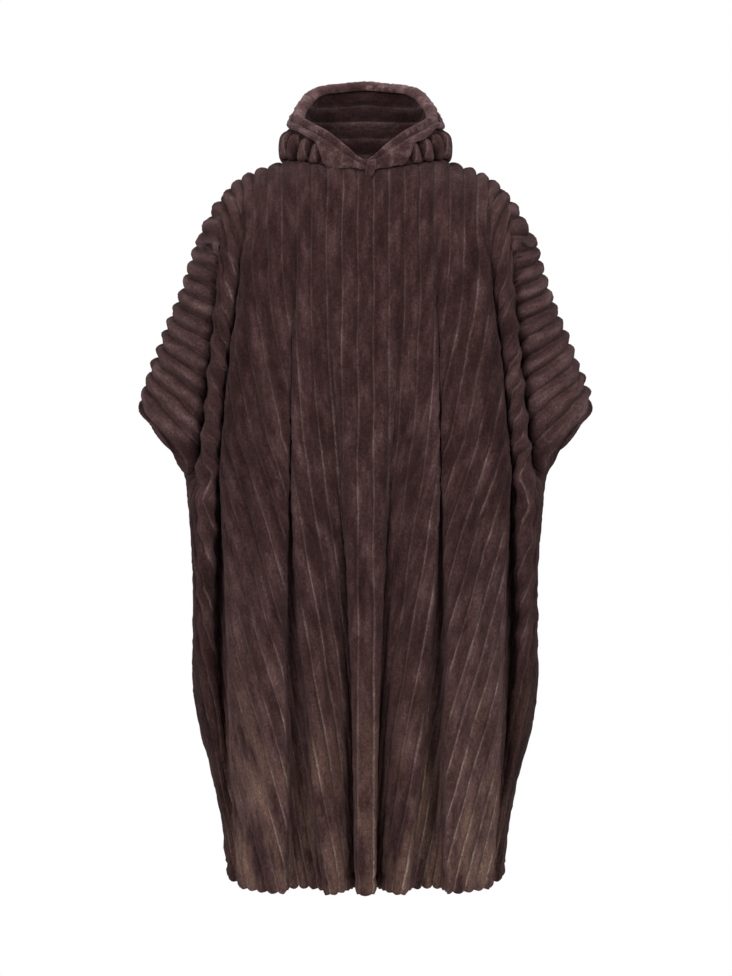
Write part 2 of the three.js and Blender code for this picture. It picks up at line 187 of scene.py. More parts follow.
# Control points of a half panel: rows from the neck and shoulder seam down, columns from the centre out.
# Over the shoulder each column is a Bezier curve from the seam to the first level.
def panelNet(table, facing):
    first = section(table, levels[0])
    cornerX, lastX = first[cloth["neckCorner"], 0], first[-1, 0]
    end = np.column_stack([first[:, 0], facing * first[:, 1], np.full(len(first), levels[0, 0])])
    isNeck = first[:, 0] < cornerX
    angle = np.arcsin(np.clip(first[:, 0] / cornerX, 0, 1))
    rim = neckAt(angle if facing < 0 else math.pi - angle)
    rim[:, 1] = facing * np.maximum(cloth["seamGap"] / 2, rim[:, 1] * facing)
    along = mix(neck["halfWidth"], shoulderX[-1], (first[:, 0] - cornerX) / (lastX - cornerX))
    ridge = np.column_stack([along, np.full(len(first), facing * cloth["seamGap"] / 2), shoulderAt(along)])
    top = np.where(isNeck[:, None], rim, ridge)
    fallen = top[:, 2] - shoulderRoll["drop"] * (top[:, 2] - end[:, 2])
    forward = np.column_stack([top[:, 0], mix(top[:, 1], end[:, 1], shoulderRoll["forward"]), fallen])
    above = np.column_stack([end[:, 0], end[:, 1], mix(end[:, 2], top[:, 2], shoulderRoll["above"])])
    rolls = []
    for k in range(cloth["shoulderRows"]):
        t = k / cloth["shoulderRows"]
        early = (1 - t) ** 3 * top + 3 * (1 - t) ** 2 * t * forward
        rolls.append(early + 3 * (1 - t) * t * t * above + t ** 3 * end)
    falls = []
    for level in levels:
        flat = section(table, level)
        falls.append(np.column_stack([flat[:, 0], facing * flat[:, 1], np.full(len(flat), level[0])]))
    return np.array(rolls + falls)


# Weights of a uniform cubic B-spline at perSpan places in each span. Open ends reach their last point.
def splineWeights(count, perSpan, closed=False):
    spans = count if closed else count - 1
    u = np.arange(spans * perSpan + (0 if closed else 1)) / perSpan
    i = np.minimum(u.astype(int), spans - 1)
    t = u - i
    later = -3 * t ** 3 + 3 * t ** 2 + 3 * t + 1
    w = np.stack([(1 - t) ** 3, 3 * t ** 3 - 6 * t ** 2 + 4, later, t ** 3], 1) / 6
    out = np.zeros((len(u), count))
    rows = np.arange(len(u))
    for k in range(4):
        at = i + k - 1
        if closed:
            np.add.at(out, (rows, at % count), w[:, k])
            continue
        low, high = at < 0, at > count - 1
        mid = ~low & ~high
        np.add.at(out, (rows[mid], at[mid]), w[mid, k])
        for side, edge, step in ((low, 0, 1), (high, count - 1, -1)):
            np.add.at(out, (rows[side], np.full(side.sum(), edge)), 2 * w[side, k])
            np.add.at(out, (rows[side], np.full(side.sum(), edge + step)), -w[side, k])
    return out


# Weights for straight lines between the points, at the same places.
def lineWeights(count, perSpan, closed=False):
    spans = count if closed else count - 1
    u = np.arange(spans * perSpan + (0 if closed else 1)) / perSpan
    i = np.minimum(u.astype(int), spans - 1)
    out = np.zeros((len(u), count))
    rows = np.arange(len(u))
    out[rows, i] += 1 - (u - i)
    out[rows, (i + 1) % count] += u - i
    return out


# The smooth surface over a net of control points. Its first row, a seam, keeps its corners.
def splineSurface(net, perRow, perColumn, closed=False):
    across = np.einsum("uc,rcd->rud", splineWeights(net.shape[1], perColumn, closed), net)
    across[0] = lineWeights(net.shape[1], perColumn, closed) @ net[0]
    return np.einsum("vr,rud->vud", splineWeights(net.shape[0], perRow), across)


# How far along the cloth the arm line is at a height.
def sleeveStart(z):
    run = np.hypot(armLine["endX"] - armLine["startX"], armLine["endZ"] - armLine["startZ"])
    share = np.clip((armLine["startZ"] - z) / (armLine["startZ"] - armLine["endZ"]), 0, 1)
    return np.minimum(armLine["along"] + run * share, cloth["halfWidth"])


# How far along the cloth the edge of a half panel is: arm line, cuff and flared side.
def edgePlace(z):
    atCuff = flare["cuff"] * smooth(flare["top"], flare["from"], z)
    down = np.clip((flare["from"] - z) / (flare["from"] - hemZ), 0, 1)
    return sleeveStart(z) + atCuff + (flare["hem"] - flare["cuff"]) * down


# How far along the cloth, across the ribs, each point of a half surface lies: the arc length from the
# centre, stretched so that the ribs run as they should over the shoulder, down the sleeve and in the folds.
def ribCoordinates(surface, perRow, perColumn):
    step = np.linalg.norm(np.diff(surface, axis=1), axis=2)
    arc = np.concatenate([np.zeros((len(surface), 1)), np.cumsum(step, axis=1)], axis=1)
    broad, pleat = columnOf["broadFold"] * perColumn, int(columnOf["sleevePleat"] * perColumn)
    rows = np.arange(len(surface)) / perRow - cloth["shoulderRows"]
    isSleeve = np.interp(rows, np.arange(len(levels)), levels[:, 3])
    endS = sleeveStart(surface[:, -1, 2])
    share = (arc[:, pleat] - arc[:, broad]) / (arc[:, -1] - arc[:, broad])
    bySleeve = np.interp(surface[:, pleat, 2], sleeveRibs["z"], sleeveRibs["s"])
    pleatS = mix(mix(arc[:, broad], endS, share), bySleeve, smooth(0, 1, isSleeve))
    # over the shoulder the ribs keep the places that they have along the seam
    first = int(cloth["shoulderRows"] * perRow)
    seam = surface[0]
    ridge = np.concatenate([[0], np.cumsum(np.hypot(np.diff(seam[:, 0]), np.diff(shoulderAt(seam[:, 0]))))])
    fromNeck = ridge - ridge[np.argmax(seam[:, 0] > neck["halfWidth"])]
    topS = np.where(seam[:, 0] < neck["halfWidth"], seam[:, 0], fromNeck + neck["halfWidth"])
    s = arc.copy()
    s[:first] = mix(topS, arc[first], np.arange(first)[:, None] / first)
    # from the broad fold to the pleat, and from there to the edge
    inner = s[:, [broad]]
    t = (arc - arc[:, [broad]]) / (arc[:, [pleat]] - arc[:, [broad]])
    s = np.where(t > 0, mix(inner, pleatS[:, None], t), s)
    t = (arc - arc[:, [pleat]]) / (arc[:, [-1]] - arc[:, [pleat]])
    s = np.where(t > 0, mix(pleatS[:, None], endS[:, None], t), s)
    # the cloth that the folds take in lower down
    column = np.linspace(0, columnOf["edge"], surface.shape[1])
    more = np.interp(column, takenIn["column"], takenIn["cloth"])
    atEdge = smooth(columnOf["sleevePleat"], columnOf["edge"], column)
    down = np.clip((takenIn["from"] - surface[..., 2]) / (takenIn["from"] - hemZ), 0, 1)
    s = s + mix(more * down, (edgePlace(surface[:, -1, 2]) - endS)[:, None], atEdge)
    return np.maximum.accumulate(s, axis=1)


# Places across half a panel: a few in each rib, closer together beside its grooves.
def ribColumns():
    inRib = np.array([-0.5, -0.43, -0.3, -0.1, 0.1, 0.3, 0.43])
    ribs = np.arange(0, int(cloth["halfWidth"] / cloth["ribPitch"]) + 2)
    s = ((ribs[:, None] + inRib) * cloth["ribPitch"]).ravel()
    s = s[(s > 0.5) & (s < cloth["halfWidth"] - 2)]
    return np.concatenate([[0], s, [cloth["halfWidth"]]])


hemRows = {"count": 10, "from": 0.972}  # rows in the last stretch of a panel, where they are closer together


def rowShares(rowCount):
    body = np.linspace(0, hemRows["from"], rowCount - hemRows["count"], endpoint=False)
    return np.concatenate([body, np.linspace(hemRows["from"], 1, hemRows["count"])])


# The surface again on a grid that follows the ribs: a column for each place s, from the seam to the hem,
# then a few across the flare. Each point has x, y, z, its fold (a column number) and s.
def layOut(surface, s, columns, rowCount):
    half = cloth["halfWidth"]
    extra = np.arange(1, flare["columns"] + 1) / flare["columns"]
    endS = s[:, -1]
    wanted = np.concatenate([np.broadcast_to(columns, (len(s), len(columns))),
                             half + np.maximum(endS - half, 0)[:, None] * extra], axis=1)
    fold = np.broadcast_to(np.linspace(0, columnOf["edge"], surface.shape[1]), s.shape)
    surface = np.concatenate([surface, fold[..., None]], axis=2)
    fine = np.empty((len(surface), wanted.shape[1], 5))
    for j in range(len(surface)):
        for d in range(4):
            fine[j, :, d] = np.interp(wanted[j], s[j], surface[j, :, d])
    fine[..., 4] = wanted
    v = np.arange(len(surface), dtype=float)
    rising = int(np.argmax(endS >= half))
    start = np.interp(columns, endS[: rising + 1], v[: rising + 1])
    start[columns <= endS[0]] = 0
    start = np.concatenate([start, start[-1] + 0.5 * (1 + np.arange(len(extra)))])
    at = start + rowShares(rowCount)[:, None] * (v[-1] - start)
    low = np.minimum(at.astype(int), len(v) - 2)
    k = np.arange(wanted.shape[1])
    return mix(fine[low, k], fine[low + 1, k], (at - low)[..., None])


def gridNormals(grid, closed=False):
    across = (np.roll(grid, -1, 1) - np.roll(grid, 1, 1)) if closed else np.gradient(grid, axis=1)
    down = np.gradient(grid, axis=0)
    n = np.cross(across, down)
    return n / np.maximum(1e-9, np.linalg.norm(n, axis=2, keepdims=True))


def ribHeight(s, pitch):  # round ribs with narrow grooves: 1 along each crest, 0 in each groove
    return np.abs(np.cos(np.pi * s / pitch)) ** 0.55


# A smooth uneven field between about -1 and 1: the sum of sines of mixed lengths and directions.
def softNoise(seed, *coordinates):
    rng = np.random.default_rng(seed)
    total = np.zeros(np.broadcast(*coordinates).shape)
    for _ in range(14):
        phase = rng.uniform(0, 2 * np.pi)
        total = total + np.sin(sum(rng.uniform(-1, 1) * c for c in coordinates) * 2 * np.pi + phase)
    return total / 4.2


def signedVolume(verts, faces):
    a, b, c, d = (verts[faces[:, k]] for k in range(4))
    return (np.einsum("ij,ij->i", a, np.cross(b, c)) + np.einsum("ij,ij->i", a, np.cross(c, d))).sum()


# A closed wall from an outer and an inner grid of the same size, with its place on the cloth as UV and its
# painted light and shade as a colour.
def wallMesh(name, layers, uv, paintedShading, closedAcross=False):
    outer, inner = layers
    rows, count = outer.shape[:2]
    ids = np.arange(rows * count).reshape(rows, count)
    if closedAcross:
        ids = np.concatenate([ids, ids[:, :1]], axis=1)
    a, b, c, d = ids[:-1, :-1], ids[1:, :-1], ids[1:, 1:], ids[:-1, 1:]
    n = rows * count
    parts = [
        np.stack([a, b, c, d], -1).reshape(-1, 4),
        np.stack([a, d, c, b], -1).reshape(-1, 4) + n,
        np.stack([ids[0, :-1], ids[0, 1:], ids[0, 1:] + n, ids[0, :-1] + n], -1),
        np.stack([ids[-1, 1:], ids[-1, :-1], ids[-1, :-1] + n, ids[-1, 1:] + n], -1),
    ]
    if not closedAcross:
        parts.append(np.stack([ids[1:, 0], ids[:-1, 0], ids[:-1, 0] + n, ids[1:, 0] + n], -1))
        parts.append(np.stack([ids[:-1, -1], ids[1:, -1], ids[1:, -1] + n, ids[:-1, -1] + n], -1))
    faces = np.concatenate(parts)
    verts = np.concatenate([outer.reshape(-1, 3), inner.reshape(-1, 3)]) * mm
    if signedVolume(verts, faces) < 0:
        faces = faces[:, ::-1]
    mesh = bpy.data.meshes.new(name)
    mesh.vertices.add(len(verts))
    mesh.vertices.foreach_set("co", verts.ravel())
    mesh.loops.add(faces.size)
    mesh.loops.foreach_set("vertex_index", np.ascontiguousarray(faces).ravel())
    mesh.polygons.add(len(faces))
    mesh.polygons.foreach_set("loop_start", np.arange(0, faces.size, 4))
    mesh.update(calc_edges=True)
    mesh.polygons.foreach_set("use_smooth", np.ones(len(faces), bool))
    both = np.concatenate([uv.reshape(-1, 2)] * 2) * mm
    mesh.uv_layers.new(name="cloth").data.foreach_set("uv", both[faces.ravel()].ravel())
    shade = np.concatenate([layer.ravel() for layer in paintedShading])
    grey = np.maximum(1, shade) ** 0.25  # painted light is greyer too
    colours = np.stack([shade, shade * grey, shade * grey, np.ones(len(verts))], 1)
    mesh.color_attributes.new("paintedShading", "FLOAT_COLOR", "POINT").data.foreach_set("color", colours.ravel())
    mesh.validate()
    return inScene(name, mesh)


def inScene(name, data):
    ob = bpy.data.objects.new(name, data)
    bpy.context.scene.collection.objects.link(ob)
    return ob


# A whole panel's grid, with s across the ribs, t down them and the fold, mirrored about the centre.
def panelGrid(table, facing, rowCount):
    net = panelNet(table, facing)
    perRow, perColumn = ((16, 12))
    surface = splineSurface(np.concatenate([net[:, :0:-1] * (-1, 1, 1), net], axis=1), perRow, perColumn)
    half = surface[:, surface.shape[1] // 2:]
    s = ribCoordinates(half, perRow, perColumn)
    laid = layOut(half, s, ribColumns(), rowCount)
    grid, fold, s = laid[..., :3], laid[..., 3], laid[..., 4]
    step = np.linalg.norm(np.diff(grid, axis=0), axis=2)
    t = np.concatenate([np.zeros((1, grid.shape[1])), np.cumsum(step, axis=0)])
    grid = np.concatenate([grid[:, :0:-1] * (-1, 1, 1), grid], axis=1)
    s = np.concatenate([-s[:, :0:-1], s], axis=1)
    t = np.concatenate([t[:, :0:-1], t], axis=1)
    fold = np.concatenate([fold[:, :0:-1], fold], axis=1)
    return grid, s, t, fold


# Soft creases: x and z of both ends on the viewer's left, half width, depth (a ridge where it is under 0),
# the side it is on (0 for both) and how far the one on the other side is shifted down.
frontCreases = [
    (-168, -48, -180, -140, 9, 5, 0, 8),
    (-164, -94, -152, -184, 8, 4.5, 0, -10),
    (-154, -250, -161, -334, 8, 4, 0, 12),
    (-108, -150, -115, -243, 7, 3.5, 0, 6),
    (-186, -150, -178, -226, 7, -4, 0, 10),
    (-66, -230, -70, -420, 9, 3, 0, -14),
    (-140, -400, -128, -560, 10, 3.5, 0, 20),
    (-186, -520, -170, -700, 10, 3.5, 0, -16),
    (-60, -640, -52, -840, 8, 4, 0, 0),
    (-170, -820, -158, -1000, 9, 3, 0, 24),
    (-12, -520, -8, -760, 6, 2.5, -1, 0),
    (-78, -20, -78, -72, 6, -3, 0, 0),
    (-85, -78, -70, -77, 4, 4.5, 0, 0),
    (-150, -128, -163, -300, 5, 4, 0, 6),
    (-164, -290, -181, -500, 6, 4.5, 0, -12),
    (-176, -520, -188, -640, 7, 3, 0, 10),
]
backCreases = [
    (-150, -60, -166, -170, 9, 4.5, 0, 14),
    (-96, -120, -104, -260, 9, 4, 0, -20),
    (-178, -260, -168, -380, 8, 4, 0, 6),
    (-60, -420, -48, -640, 10, 4, 0, 30),
    (-150, -600, -134, -800, 10, 3.5, 0, -18),
    (-190, -840, -176, -1010, 9, 3, 0, 12),
]


# Each crease is deepest along its line and fades to its sides and ends.
def creaseDepth(creases, grid):
    total = np.zeros(grid.shape[:2])
    for x0, z0, x1, z1, width, depth, only, shift in creases:
        for side in (-1, 1):
            if only and side != only:
                continue
            lower = shift if side > 0 else 0
            start = np.array([-side * x0, z0 - lower])
            run = np.array([-side * x1, z1 - lower]) - start
            p = grid[..., [0, 2]] - start
            t = (p @ run) / (run @ run)
            off = np.abs(p[..., 0] * run[1] - p[..., 1] * run[0]) / np.hypot(*run)
            total += depth * smooth(-0.08, 0.22, t) * smooth(1.08, 0.78, t) * bell(off, 0, width)
    return total


# Lumps along the twisted fold at the side: z of each and how far it stands out. The other side's are lower.
ropeLumps = {
    "z": np.array([-150, -196, -246, -290, -338, -390, -436, -486, -536, -582, -634,
                   -680, -730, -776, -826.0]),
    "out": np.array([5, 6.5, 7.5, 6.5, 8, 6.5, 7.5, 9, 7.5, 9, 7.5, 7, 6, 5, 3.5]),
    "shift": -17.0, "half": 14.0, "column": 19.2, "columnHalf": 1.5,
}


def ropeLumpHeight(z, x, fold):  # each lump is round along the fold, and between two the fold is drawn in
    total = np.zeros_like(z)
    for at, out in zip(ropeLumps["z"], ropeLumps["out"]):
        total += out * bell(z, at + np.where(x > 0, ropeLumps["shift"], 0.0), ropeLumps["half"])
    return total * bell(fold, ropeLumps["column"], ropeLumps["columnHalf"])


# Painted light and shade: from and to column, from z and down to z, and how much lighter or darker the colour
# is painted there.
paintedShadingPlaces = [
    (17.6, 26.5, -760, -1200, -0.25), (20.6, 26.5, -560, -1200, -0.30), (8.8, 10.6, -480, -1200, 0.15),
    (15.8, 17.2, -180, -1200, 0.15), (21.2, 22.4, -140, -520, -0.10), (6.3, 8.1, -300, -1200, 0.20),
    (13.0, 15.2, -620, -1200, 0.14), (10.9, 15.4, -640, -1200, 0.30), (13.5, 15.6, -120, -560, -0.24),
    (2.0, 2.9, -290, -560, 0.35), (18.3, 20.2, -200, -800, 0.16), (-1.8, 1.8, -330, -1200, 0.12),
    (24.6, 26.5, -300, -480, 0.25), (25.0, 26.5, -60, -300, 0.28), (17.5, 26.5, 40, -90, 0.24),
    (-1, 27, 40, -1200, 0.07),
]


def paintedShadingOf(fold, z):
    total = np.ones_like(z)
    for a, b, top, bottom, amount in paintedShadingPlaces:
        side = smooth(a - 0.5, a + 0.5, fold) * smooth(b + 0.5, b - 0.5, fold)
        total += amount * side * smooth(top + 30, top - 50, z) * smooth(bottom - 30, bottom + 50, z)
    return np.maximum(total, 0.4)


# How the panels' ribs stand out and how their hem is finished, in mm unless it is a share.
relief = {
    "rows": 136,
    "body": 4.6, "arm": 10.0, "inner": 2.0,  # height of a rib on the body, on the arm and inside
    "fuzz": 0.8, "longSwell": 0.17, "shortSwell": 0.10,  # unevenness, the last two as shares of the height
    "waver": 1.0,  # how far a rib wanders to its sides
    "neckFade": 9.0,
    "armPress": 6.0, "armPressColumn": 24.25, "armPressHalf": 0.55,
    "lowPress": 7.5, "hemEase": 3.0, "sidePress": 2.0,
    "hemStitch": 18.0, "stitchHalf": 2.6, "stitchDepth": 1.6, "stitchOnRib": 1.4,
    "hemRound": 8.0, "hemSag": 5.5, "hemSagFrom": 30.0,
}


def buildPanel(name, table, facing, creases, seed):
    grid, s, t, fold = panelGrid(table, facing, relief["rows"])
    z = grid[..., 2]
    fromHem = t[-1] - t
    normal = gridNormals(grid)
    normal = normal * np.sign((normal[..., 1] * facing).mean())
    across = np.gradient(grid, axis=1)
    across = across / np.maximum(1e-9, np.linalg.norm(across, axis=2, keepdims=True))
    # ribs stand highest over the shoulder and down the arm
    ribs = ribHeight(s, cloth["ribPitch"])
    overShoulder = smooth(130, 190, np.abs(s)) * smooth(150, 40, t)
    downArm = smooth(22, 23.5, fold) * smooth(-470, -400, z)
    armness = np.clip(overShoulder + downArm, 0, 1)
    height = mix(relief["body"], relief["arm"], armness)
    atNeck = np.abs(grid[0, :, 0]) < neck["halfWidth"] + 4
    fade = np.where(atNeck[None, :], smooth(0, relief["neckFade"], t), 1)
    fuzz = relief["fuzz"] * softNoise(seed + 60, s / 6, t / 10) * smooth(0, 12, t)
    swell = 1 + relief["longSwell"] * softNoise(seed, s / 80, t / 52)
    swell = swell + relief["shortSwell"] * softNoise(seed + 20, s / 24, t / 24)
    waver = relief["waver"] * softNoise(seed + 40, s / 110, t / 150)
    waver = waver * smooth(0, 40, t) * smooth(0, 60, fromHem)
    base = grid + across * (waver * smooth(26, 25, fold))[..., None]
    # creases, the twisted fold's lumps, the arm pressed in beside its pleat, and the sides drawn in low
    pressed = bell(fold, relief["armPressColumn"], relief["armPressHalf"])
    pressed = relief["armPress"] * pressed * smooth(-100, -150, z) * smooth(-430, -380, z)
    drawnIn = relief["lowPress"] * smooth(-840, -980, z) - relief["hemEase"] * smooth(-1050, -1130, z)
    drawnIn = (drawnIn + relief["sidePress"] * smooth(-600, -740, z)) * smooth(16.5, 19, fold)
    depth = creaseDepth(creases, grid) + pressed - ropeLumpHeight(z, grid[..., 0], fold) + drawnIn
    base = base - normal * depth[..., None]
    # a stitch line above the hem, and the hem's rounded edge
    stitch = bell(fromHem, relief["hemStitch"], relief["stitchHalf"])
    stitch = stitch * (relief["stitchDepth"] + relief["stitchOnRib"] * ribs)
    rounding = np.sqrt(np.clip(1 - (1 - np.clip(fromHem / relief["hemRound"], 0, 1)) ** 2, 0, 1))
    out = ribs * height * swell * fade * mix(0.25, 1, rounding) - stitch + fuzz
    inwards = cloth["thickness"] * mix(0.6, 1, rounding) + ribs * relief["inner"] * fade
    outer = base + normal * out[..., None]
    inner = base - normal * inwards[..., None]
    sag = relief["hemSag"] * ribs * smooth(relief["hemSagFrom"], 0, fromHem)
    # front and back meet on one plane at the shoulder and side seams
    onSeam = np.abs(grid[..., 1]) < 2 * cloth["seamGap"]
    onSeam[0] |= ~atNeck & (np.abs(s[0]) < cloth["halfWidth"] - 1)
    for layer in (outer, inner):
        layer[..., 2] -= sag
        layer[..., 1] = np.where(onSeam, 0, facing * np.maximum(cloth["seamGap"] / 2, facing * layer[..., 1]))
    # painted light and shade: the placed patches, and on the arm a painted highlight along each rib's crest
    # with a little painted shade in its grooves
    paintedShading = paintedShadingOf(fold, z) * (1 + armness * (0.85 * ribs ** 3 - 0.05 * (1 - ribs ** 3)))
    ob = wallMesh(name, (outer, inner), np.stack([s, t], -1), (paintedShading, paintedShading))
    wide = np.diff(s, axis=1)
    tall = np.diff(t, axis=0)
    area = float((0.25 * (wide[1:] + wide[:-1]) * (tall[:, 1:] + tall[:, :-1])).sum()) * mm * mm
    longest = float(t[-1].max()) * mm
    print(name, "grid", grid.shape[:2], "flat area", round(area, 3), "longest", round(longest, 3))
    return ob, area, longest


# How far the hood stands out of the neck line and how high, for turns from the centre front (0) to the
# centre back (180).
hoodPlaces = ("angle", "rootOut", "rootZ", "sagOut", "sagZ", "turnOut", "turnZ", "bellyOut", "bellyZ",
              "topOut", "topZ", "rimOut", "rimZ")
hoodProfiles = np.array([
    (0, 0, -16.5, 1, -16, 1, -15.5, 1, -15, 1, -14.5, 0, -14),
    (30, 1, -9, 2, 0, 2, 8, 1, 17, -2, 27, -5, 36),
    (60, 3, 3, 5, 11, 6, 20, 4, 33, -2, 48, -11, 62),
    (90, 1, 13, 2, 19, 3, 29, 2, 42, -10, 60, -19, 77),
    (120, 7, 20, 14, 13, 20, 13, 20, 35, 3, 70, -12, 104),
    (150, 14, 26, 40, -30, 74, -72, 98, -25, 72, 72, 19, 136),
    (180, 20, 28, 54, -66, 96, -132, 132, -45, 105, 82, 32, 148),
], dtype=float)
# Where the gathered lumps of each side meet, in degrees from the centre front, and how far each stands out.
hoodLumps = np.array([(20.0, 0), (32, 6), (42, 10), (53, 11), (66, 11), (82, 11), (97, 9), (111, 7),
                      (126, 0), (180, 0)])
hoodCut = {
    "columns": 36,
    "lift": 1.0,  # of its lower edge over the neck seam
    "turnedDown": 6.0,  # inside, over the neck seam, which it closes
    "thickness": 5.0,
    "ribPitch": 24.6, "outerRelief": 4.5, "innerRelief": 4.0,
    "gathered": 0.6, "gatheredAt": 66.0, "gatheredHalf": 34.0,  # more ribs to the mm round this turn
    "sideBend": 7.0, "backBend": 0.84,  # how late the ribs turn from upright to lie along the face edge
    "backShift": 9.6,  # of the ribs behind
    "lumpShare": 1.1, "lumpGap": 9.0, "lumpLean": 9.0, "overhang": 7.0,
    "underBand": 3.0, "underBandAt": 0.70, "underBandHalf": 0.07,
}


def hoodNet():
    angle = 2 * np.pi * np.arange(hoodCut["columns"]) / hoodCut["columns"]
    turned = np.degrees(np.minimum(angle, 2 * np.pi - angle))
    at = {}
    for k, name in enumerate(hoodPlaces):
        at[name] = np.interp(turned, hoodProfiles[:, 0], hoodProfiles[:, k])
    seam = neckAt(angle)
    outwards = np.stack([np.sin(angle), -np.cos(angle), np.zeros_like(angle)], axis=1)
    rows = [seam + (0, 0, hoodCut["lift"])]
    for place in ("root", "sag", "turn", "belly", "top", "rim"):
        p = seam + outwards * at[place + "Out"][:, None]
        p[:, 2] = at[place + "Z"]
        rows.append(p)
    return np.array(rows)


def sideOn(turned):  # 1 at the gathered sides
    return smooth(21, 33, turned) * smooth(124, 108, turned)


# Length and height of a ring laid flat, and its area, in m and m2.
def flatSize(grid):
    ring = np.concatenate([grid, grid[:, :1]], axis=1)
    wide = np.linalg.norm(np.diff(ring, axis=1), axis=2)
    tall = np.linalg.norm(np.diff(ring, axis=0), axis=2)
    area = np.linalg.norm(np.cross(np.diff(ring, axis=1)[:-1], np.diff(ring, axis=0)[:, :-1]), axis=2).sum()
    return (float(wide.sum(axis=1).max()) * mm, float(tall.sum(axis=0).max()) * mm), float(area * mm * mm)


# A ring of cloth from the neck seam (w = 0) to the face edge (w = 1), a spline over the profiles.
def buildHood():
    perRow, perColumn = ((14, 10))
    grid = splineSurface(hoodNet(), perRow, perColumn, closed=True)
    rows, count = grid.shape[:2]
    angle = 2 * np.pi * np.arange(count) / count
    turned = np.degrees(np.minimum(angle, 2 * np.pi - angle))
    normal = gridNormals(grid, closed=True)
    fromMiddle = (grid - grid.mean(axis=1, keepdims=True)) * (1, 1, 0)
    normal = normal * np.sign((fromMiddle * normal).sum(axis=2).mean())
    step = np.linalg.norm(np.diff(grid, axis=0), axis=2)
    fromSeam = np.concatenate([np.zeros((1, count)), np.cumsum(step, 0)])
    height = fromSeam[-1]
    fromRim = height - fromSeam
    w = fromSeam / height
    # ribs leave the seam upright, closer together where it is gathered, and turn to run along the face edge
    step = np.linalg.norm(np.roll(grid[0], -1, 0) - grid[0], axis=1)
    gathered = bell(turned, hoodCut["gatheredAt"], hoodCut["gatheredHalf"])
    along = np.concatenate([[0], np.cumsum(step * (1 + hoodCut["gathered"] * gathered))])[: count // 2 + 1]
    q = np.interp(turned, turned[: count // 2 + 1], along)
    bend = mix(hoodCut["sideBend"], hoodCut["backBend"], smooth(70, 150, turned))
    q = q * (1 - w ** bend) + hoodCut["backShift"] * smooth(100, 150, turned)
    ribs = ribHeight(q, hoodCut["ribPitch"])
    # the sides are gathered into upright lumps that lean forwards and hang a little over the neck seam
    there = sideOn(turned)
    upright = smooth(0.0, 0.22, w) * smooth(0.80, 0.42, w)
    leaning = turned + hoodCut["lumpLean"] * (w - 0.35)
    place = np.interp(leaning, hoodLumps[:, 0], np.arange(len(hoodLumps)))
    lump = np.abs(np.sin(np.pi * place)) ** 0.7
    size = np.interp(turned, hoodLumps[:, 0] - 5, hoodLumps[:, 1])
    gathers = lump * size * hoodCut["lumpShare"] * upright * there
    gathers = gathers - hoodCut["lumpGap"] * there * upright * (1 - lump) ** 1.5
    covered = bell(w, hoodCut["underBandAt"], hoodCut["underBandHalf"])
    gathers = gathers - hoodCut["underBand"] * there * covered
    base = grid + normal * gathers[..., None]
    base[..., 2] -= hoodCut["overhang"] * lump * there * smooth(0.0, 0.14, w) * smooth(0.5, 0.2, w)
    # ribs on the outside, and inside only at the back, both flat under the band and at the seam
    atBack = smooth(110, 140, turned)
    shown = ribs * smooth(10, 24, fromRim) * mix(1, 0.35, there) * smooth(0, 10, fromSeam)
    outer = base + normal * (shown * hoodCut["outerRelief"])[..., None]
    inner = base - normal * (hoodCut["thickness"] + shown * hoodCut["innerRelief"] * atBack)[..., None]
    inner[0, :, 2] -= hoodCut["turnedDown"]
    # a painted sheen line in each groove inside the hood at the back
    paintedGrooveLine = bell((q / hoodCut["ribPitch"]) % 1, 0.53, 0.12)
    paintedGrooveLine = paintedGrooveLine * atBack * smooth(6, 14, fromRim) * smooth(2, 12, q)
    # painted light on the gathered lumps and painted shade between them outside; inside, the painted sheen
    # lines on a face a little darker overall
    paintedShading = (1 + there * upright * (0.65 * lump - 0.6 * (1 - lump)), 0.88 + 1.3 * paintedGrooveLine)
    ob = wallMesh("hoodCloth", (outer, inner), np.stack([q, fromSeam], -1), paintedShading, closedAcross=True)
    # it is cut to the smooth form's length and height, and its area is that of the gathered cloth
    flat = flatSize(grid)[0]
    area = flatSize(base)[1]
    print("hoodCloth grid", (rows, count), "height", round(height.min()), round(height.max()), "flat", flat)
    return ob, flat, area, (grid, normal, fromRim)


# A row gives how far below the face edge a point of the band's section lies, as a share of the band's width
# and in mm, and how far it stands out of the hood's outer face.
bandSection = np.array([
    (1, -1.5, 1.6), (1, 0.6, 2.6), (1, 1.2, 4.6), (1, -0.8, 6.6), (0.82, 0, 7.8), (0.6, 1, 8.6),
    (0.3, 4, 8.4), (0, 12, 7.6), (0, 9, 4.0), (0, 6.5, 6.8), (0, 3, 8.6), (0, -1.5, 8.6), (0, -5, 6),
    (0, -6.6, 1.5), (0, -6.8, -4), (0, -5.4, -8), (0, -2.4, -10.2), (0, 0.4, -10.6), (0, 2.4, -9.6),
    (0, 3, -8), (0, 2.2, -6.8), (0, 0.6, -6.5), (0, -1.2, -5), (0, -1.4, -1), (0, -0.6, 1.2),
    (0.25, 0, 1.5), (0.5, 0, 1.5), (0.8, 0, 1.5),
])
bandCut = {
    "front": 58.0, "side": 19.0, "corner": 5.0,  # widths, and how soft the corner of the flap is
    "uneven": 0.12,
    "cross": 8.0,  # degrees that each end goes past the centre front
    "frontLift": 4.0, "overLumps": 0.45, "onTop": 5.5, "dip": 5.5,
    "ends": (0.72, 0.90, 0.97),  # sizes of the last sections
    "ripple": 0.5, "fineRipple": 0.9,
    "tabWidth": 16.0,
}
# The narrow end of the band, which hangs over the crossing: x, y, z, width and thickness down its length.
tabPath = np.array([
    (10, -104, -7, 12, 5), (9.5, -110, -11, 15, 6.5), (8.8, -112.5, -17, 16, 7), (8, -112.5, -22, 15, 7),
    (7, -111.5, -27, 14, 6.5), (6, -110, -31, 12.5, 6), (5.4, -109, -34, 9, 5), (5.2, -108.5, -35.2, 4, 2.5),
])


